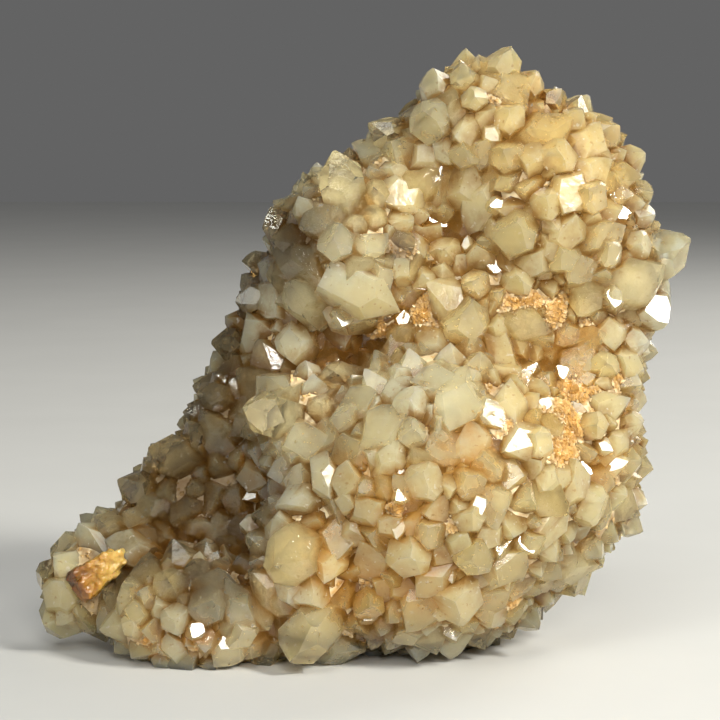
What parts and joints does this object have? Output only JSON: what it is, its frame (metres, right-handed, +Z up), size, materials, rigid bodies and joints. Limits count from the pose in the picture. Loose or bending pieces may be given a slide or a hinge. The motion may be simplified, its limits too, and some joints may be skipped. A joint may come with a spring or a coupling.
{
  "type": "crested barite on quartz",
  "caption": "Free-standing druse of stubby milky quartz crystals on a lumpy iron-stained rock, with one ochre crested barite crystal on its low left foot",
  "frame": {"origin": "centre of the bounding box, on the flat cut that the stone rests on", "axes": "+X to the right along the stone's width, seen from the crystal-covered front; +Y away from the viewer; +Z up"},
  "size_m": [0.097, 0.0511, 0.0903],
  "materials": {
    "milky_quartz": "vitreous, milky, stained by iron in the hollows",
    "ochre_barite": "ochre, dull to waxy"
  },
  "bodies": {
    "root": {"quartz_druse": "milky_quartz", "barite_crest": "ochre_barite"}
  },
  "joints": []
}
